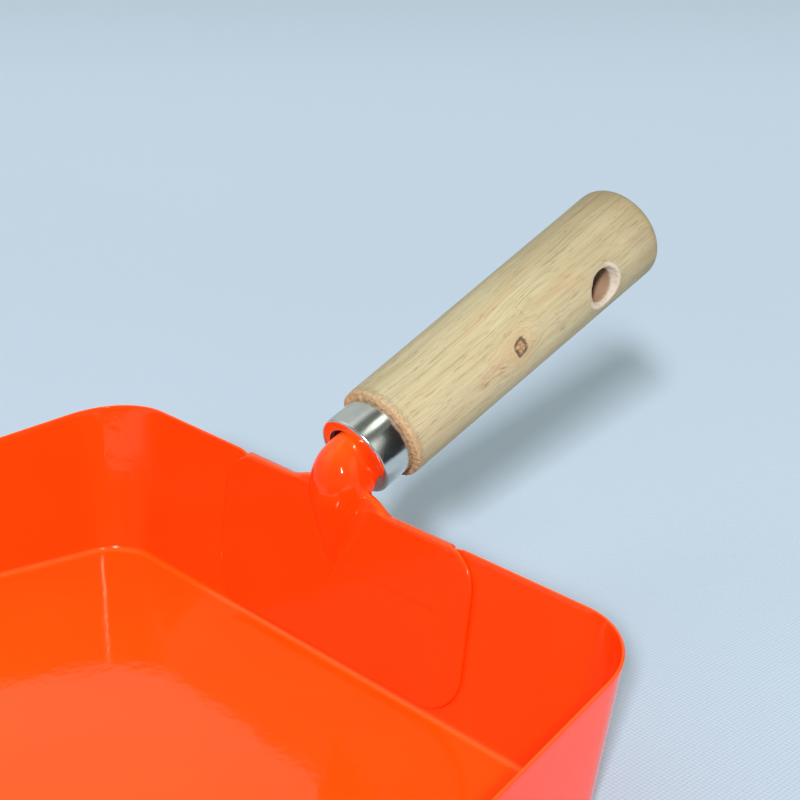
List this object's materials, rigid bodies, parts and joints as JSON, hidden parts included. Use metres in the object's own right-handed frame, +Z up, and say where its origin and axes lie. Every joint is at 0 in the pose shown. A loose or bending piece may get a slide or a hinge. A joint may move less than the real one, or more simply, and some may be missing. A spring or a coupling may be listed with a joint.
{
  "type": "dustpan",
  "caption": "Open-fronted sheet-metal dustpan with flared sides, a bracket hooked over the back wall, and a turned wooden handle in a metal ferrule.",
  "frame": {"origin": "middle of the flat underside, halfway between the mouth and the back wall, on the surface that the pan stands on", "axes": "+Z up, +Y from the mouth towards the handle, +X to the right when looking along +Y; the pan and its handle are symmetric about X = 0"},
  "size_m": [0.2736, 0.3247, 0.1141],
  "materials": {
    "orange_paint": "gloss orange enamel over sheet steel",
    "plated_steel": "bright plated steel",
    "pale_wood": "sanded pale hardwood, unvarnished"
  },
  "bodies": {
    "root": {"pan_body": "orange_paint", "handle_bracket": "orange_paint", "ferrule": "plated_steel", "wooden_handle": "pale_wood"}
  },
  "joints": []
}
